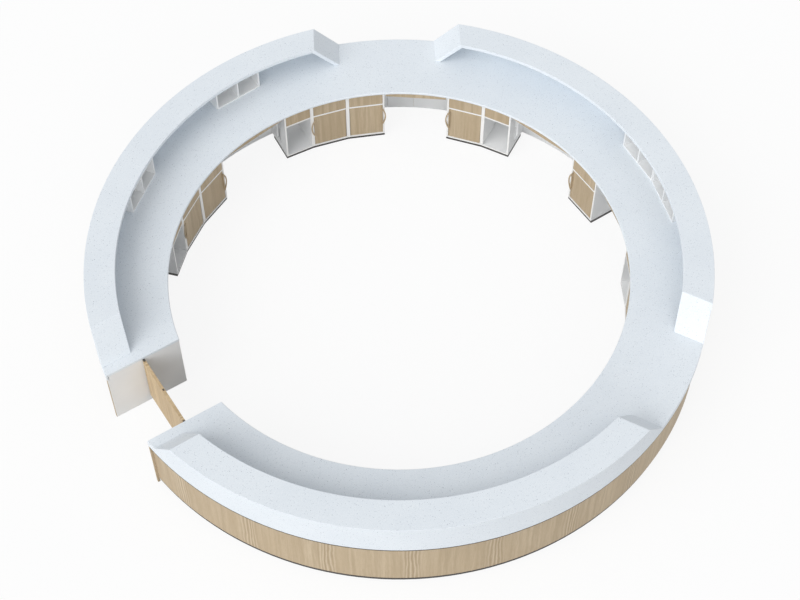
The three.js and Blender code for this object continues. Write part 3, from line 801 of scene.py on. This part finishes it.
# Cabinets: one unit has a drawer, and a door or an open bay below it
def unit_of(drawer):
    """Sizes of the unit round a drawer, in the unit's own frame."""
    slide = Vector(JOINTS[drawer]["axis"])
    bearing = bearing_of(-slide)
    low, high = corners_of(drawer, bearing)
    half = high.x + DRAWER_SIDE_CLEARANCE + CARCASS_BOARD
    door = drawer.replace("drawer_", "door_")
    run = drawer.rsplit("_", 1)[0].replace("drawer_", "")
    side = 0
    if door in JOINTS:
        side = -1 if JOINTS[door]["axis"][2] > 0 else 1
    return {
        "drawer": drawer, "door": door, "run": run, "side": side,
        "bearing": bearing, "half": half, "low": low, "high": high,
    }


def add_carcass(bm, bands, unit, slot_side, floor_z, top_z, back_y):
    """Side panels, floor, shelf and back of one unit, and the bands on the boards' front edges."""
    half, face = unit["half"], unit["low"].y
    front = face + EDGE_BAND
    inner = half - CARCASS_BOARD
    shelf = unit["low"].z - CARCASS_BOARD
    for sign in (-1, 1):
        xs = sorted((sign * inner, sign * half))
        panel = bmesh.new()
        add_board(panel, (xs[0], front, floor_z), (xs[1], back_y, top_z))
        if sign == slot_side:
            middle = face + SLOT_DISTANCE
            across = (middle - SLOT_WIDTH / 2, middle + SLOT_WIDTH / 2)
            up = (floor_z + CARCASS_BOARD + SLOT_RISE, shelf - SLOT_SHELF_GAP)
            cut_window(panel, 0, {1: across, 2: up})
        merge(bm, panel)
        add_board(bands, (xs[0], face, floor_z), (xs[1], front, top_z), BAND_EDGE)
    for foot in (floor_z, shelf):
        add_board(bm, (-inner, front, foot), (inner, back_y - CARCASS_BACK, foot + CARCASS_BOARD))
        add_board(bands, (-inner, face, foot), (inner, front, foot + CARCASS_BOARD), BAND_EDGE)
    add_board(bm, (-inner, back_y - CARCASS_BACK, floor_z), (inner, back_y, top_z))


def drawer_pieces(unit):
    """Oak front and white box of one drawer."""
    drawer, low, high = unit["drawer"], unit["low"], unit["high"]
    face = unit["half"] - CARCASS_BOARD - FRONT_GAP
    box_front = low.y + FRONT_BOARD
    bm = bmesh.new()
    add_board(bm, (-face, low.y, low.z + FRONT_GAP), (face, box_front, high.z), OAK_EDGE)
    lay_grain(bm)
    place_turned(f"{drawer}_front", bm, unit["bearing"], "oak", drawer, drawer)

    top = high.z - DRAWER_BOX_DROP
    inner = high.x - DRAWER_BOARD
    floor = low.z + DRAWER_BOTTOM
    bm = bmesh.new()
    add_board(bm, (low.x, box_front, low.z), (high.x, high.y, floor))
    for x0, x1 in ((low.x, -inner), (inner, high.x)):
        add_board(bm, (x0, box_front, floor), (x1, high.y, top))
    for y0, y1 in ((box_front, box_front + DRAWER_BOARD), (high.y - DRAWER_BOARD, high.y)):
        add_board(bm, (-inner, y0, floor), (inner, y1, top))
    place_turned(f"{drawer}_box", bm, unit["bearing"], "white_board", drawer)


def pull_mesh(unit, door_low_z, door_high_z):
    """Bow pull: a flat band that bends past the cabinet side, on a straight stem that laps the door."""
    front, side = unit["low"].y, unit["side"]
    reach = max(abs(corner.x) for corner in corners_of(unit["door"], unit["bearing"]))
    base = unit["half"] - CARCASS_BOARD - FRONT_GAP - PULL_LAP
    bulge = reach - base
    radius = ((PULL_LENGTH / 2) ** 2 + bulge ** 2) / (2 * bulge)
    middle_z = (door_low_z + door_high_z) / 2 + PULL_RISE
    plate_y = front - PULL_STANDOFF
    centre = Matrix.Translation((reach - radius, plate_y, middle_z))
    upright = centre @ Matrix.Rotation(math.pi / 2, 4, "X")
    bm = bmesh.new()
    bmesh.ops.create_circle(bm, segments=PULL_SEGMENTS, radius=radius, matrix=upright)
    made = bmesh.ops.extrude_edge_only(bm, edges=bm.edges[:])["geom"]
    inner_rim = [item for item in made if isinstance(item, bmesh.types.BMVert)]
    share = 1 - PULL_BAND / radius
    bmesh.ops.scale(bm, vec=(share, share, share), space=centre.inverted(), verts=inner_rim)
    cut_plane(bm, (base, 0, 0), (1, 0, 0), dist=SAME_PLACE, clear_inner=True)
    made = bmesh.ops.extrude_face_region(bm, geom=bm.faces[:])["geom"]
    moved = [item for item in made if isinstance(item, bmesh.types.BMVert)]
    bmesh.ops.translate(bm, verts=moved, vec=(0, -PULL_THICKNESS, 0))
    bmesh.ops.recalc_face_normals(bm, faces=bm.faces)
    round_edges(bm, sharp_edges(bm), PULL_EDGE)
    stem_low = (base, plate_y - PULL_THICKNESS / 2, middle_z - PULL_STEM_LENGTH / 2)
    stem_high = (base + PULL_STEM_WIDTH, front + DOOR_RECESS, middle_z + PULL_STEM_LENGTH / 2)
    add_board(bm, stem_low, stem_high)
    if side < 0:
        bmesh.ops.scale(bm, vec=(-1, 1, 1), verts=bm.verts)
    lay_grain(bm)
    return bm


def door_pieces(unit, floor_z):
    """Oak door with its bow pull and two hinge pins."""
    door, side, bearing = unit["door"], unit["side"], unit["bearing"]
    shelf = unit["low"].z - CARCASS_BOARD
    free = unit["half"] - CARCASS_BOARD - FRONT_GAP
    front = unit["low"].y + DOOR_RECESS
    low_z = floor_z + CARCASS_BOARD + FRONT_GAP
    high_z = shelf - FRONT_GAP
    bm = hinged_board((-free, front, low_z), (free, front + FRONT_BOARD, high_z), -side * free)
    place_turned(f"{door}_board", bm, bearing, "oak", door, door)
    place_turned(f"{door}_pull", pull_mesh(unit, low_z, high_z), bearing, "oak", door)

    hinge = turned(bearing).inverted() @ Vector(JOINTS[door]["pos_m"])
    bm = bmesh.new()
    for z in (low_z - FRONT_GAP / 2, high_z + FRONT_GAP / 2):
        middle = Matrix.Translation((hinge.x, hinge.y, z))
        bmesh.ops.create_cone(
            bm, cap_ends=True, segments=HINGE_SEGMENTS, radius1=HINGE_RADIUS, radius2=HINGE_RADIUS,
            depth=FRONT_GAP + 2 * HINGE_ENGAGEMENT, matrix=middle,
        )
    round_edges(bm, sharp_edges(bm), HINGE_EDGE)
    place_turned(f"{door}_pins", bm, bearing, "black_steel", door)


UNITS = [unit_of(name) for name in NODES if name.startswith("drawer_")]
BACK_RADIUS = ring_size(PLAIN_LINING)[0] * math.cos(SLICE_ANGLE) - CARCASS_BACK_CLEARANCE


def cabinet_run(run, units):
    """Cabinets that stand side by side on one plinth. The bay at an end has its cable slot outside."""
    floor_z, top_z = (corner.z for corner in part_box(f"carcass_{run}"))
    boards = bmesh.new()
    run_bands = bmesh.new()
    for unit in units:
        slot_side = 0
        if unit["side"] == 0:
            slot_side = 1 if unit is units[0] else -1
        back_y = math.sqrt(BACK_RADIUS ** 2 - unit["half"] ** 2)
        bm = bmesh.new()
        bands = bmesh.new()
        add_carcass(bm, bands, unit, slot_side, floor_z, top_z, back_y)
        merge(boards, bm, turned(unit["bearing"]))
        merge(run_bands, bands, turned(unit["bearing"]))
        drawer_pieces(unit)
        if unit["side"]:
            door_pieces(unit, floor_z)
    finish_piece(f"carcass_{run}_boards", boards, "white_board", node=f"carcass_{run}")
    finish_piece(f"carcass_{run}_edge_bands", run_bands, "white_board", finish="edge_band")
    refinish(f"plinth_{run}", "dark_skirting")


for run in sorted({unit["run"] for unit in UNITS}):
    cabinet_run(run, [unit for unit in UNITS if unit["run"] == run])


# Aprons across the knee spaces
for node in [name for name in NODES if name.startswith("apron_")]:
    bearing = square_bearing(node)
    low, high = corners_of(node, bearing)
    bm = bmesh.new()
    add_board(bm, low, high, OAK_EDGE)
    lay_grain(bm)
    place_turned(f"{node}_board", bm, bearing, "oak", node=node)


# Stage: pale floor, soft light from the front left and from low in front, and the camera
FLOOR_SIZE = 80.0
FLOOR_DROP = 0.0005
FLOOR_SEEN = (0.90, 0.90, 0.90, 1)
FLOOR_BOUNCE = (0.60, 0.60, 0.60, 1)
FLOOR_GLOW = 0.88
WORLD_COLOUR = (0.97, 0.985, 1.0, 1)
WORLD_STRENGTH = 0.585
LAMPS = {
    "key": {"place": Vector((-0.78, -0.66, 0.80)), "strength": 1.55, "softness": math.radians(50)},
    "fill": {"place": Vector((0.10, -1.0, 0.32)), "strength": 0.64, "softness": math.radians(30)},
}
CAMERA_PLACE = (0.0, -9.5154, 13.9714)
CAMERA_TILT = math.radians(34.55)
CAMERA_LENS = 74.44
CAMERA_SHIFT = (0.0011, 0.0007)


def seen_directly(tree):
    """1 for rays from the camera, reflections and transmission."""
    paths = add_node(tree, "ShaderNodeLightPath").outputs
    shown = math_node(tree, "MAXIMUM", paths["Is Camera Ray"], paths["Is Glossy Ray"])
    return math_node(tree, "MAXIMUM", shown, paths["Is Transmission Ray"])


def pale_floor():
    bm = bmesh.new()
    bmesh.ops.create_grid(bm, x_segments=1, y_segments=1, size=FLOOR_SIZE / 2)
    bmesh.ops.translate(bm, verts=bm.verts, vec=(0, 0, -FLOOR_DROP))
    mesh = bpy.data.meshes.new("floor")
    bm.to_mesh(mesh)
    bm.free()
    material, tree, shader = start_material("pale_floor")
    seen = seen_directly(tree)
    tree.links.new(mix_colour(tree, seen, FLOOR_BOUNCE, FLOOR_SEEN), shader.inputs["Base Color"])
    shader.inputs["Roughness"].default_value = 0.9
    shader.inputs["Specular IOR Level"].default_value = 0.0
    glow = add_node(tree, "ShaderNodeEmission", {"Color": (1, 1, 1, 1), "Strength": 1.0})
    share = math_node(tree, "MULTIPLY", seen, FLOOR_GLOW)
    mixer = add_node(tree, "ShaderNodeMixShader", {0: share, 1: shader.outputs[0], 2: glow.outputs[0]})
    tree.links.new(mixer.outputs[0], tree.nodes["Material Output"].inputs["Surface"])
    mesh.materials.append(material)
    floor = bpy.data.objects.new("floor", mesh)
    bpy.context.scene.collection.objects.link(floor)


def soft_world():
    world = bpy.data.worlds.new("studio")
    world.use_nodes = True
    tree = world.node_tree
    tree.nodes.clear()
    ambient = add_node(tree, "ShaderNodeBackground", {"Color": WORLD_COLOUR, "Strength": WORLD_STRENGTH})
    backdrop = add_node(tree, "ShaderNodeBackground", {"Color": (1, 1, 1, 1), "Strength": 1.0})
    inputs = {0: seen_directly(tree), 1: ambient.outputs[0], 2: backdrop.outputs[0]}
    mixer = add_node(tree, "ShaderNodeMixShader", inputs)
    output = add_node(tree, "ShaderNodeOutputWorld")
    tree.links.new(mixer.outputs[0], output.inputs["Surface"])
    bpy.context.scene.world = world


def soft_lamp(name, place, strength, softness):
    """Far lamp that shines from a place towards the desk."""
    lamp = bpy.data.lights.new(name, "SUN")
    lamp.energy = strength
    lamp.angle = softness
    made = bpy.data.objects.new(name, lamp)
    made.rotation_euler = place.to_track_quat("Z", "Y").to_euler()
    bpy.context.scene.collection.objects.link(made)


def photo_camera():
    data = bpy.data.cameras.new("camera")
    data.lens = CAMERA_LENS
    data.shift_x, data.shift_y = CAMERA_SHIFT
    made = bpy.data.objects.new("camera", data)
    made.location = CAMERA_PLACE
    made.rotation_euler = (CAMERA_TILT, 0, 0)
    bpy.context.scene.collection.objects.link(made)
    bpy.context.scene.camera = made


pale_floor()
soft_world()
for name, lamp in LAMPS.items():
    soft_lamp(name, **lamp)
photo_camera()
bpy.context.scene.view_settings.view_transform = "Standard"

bpy.context.view_layer.update()
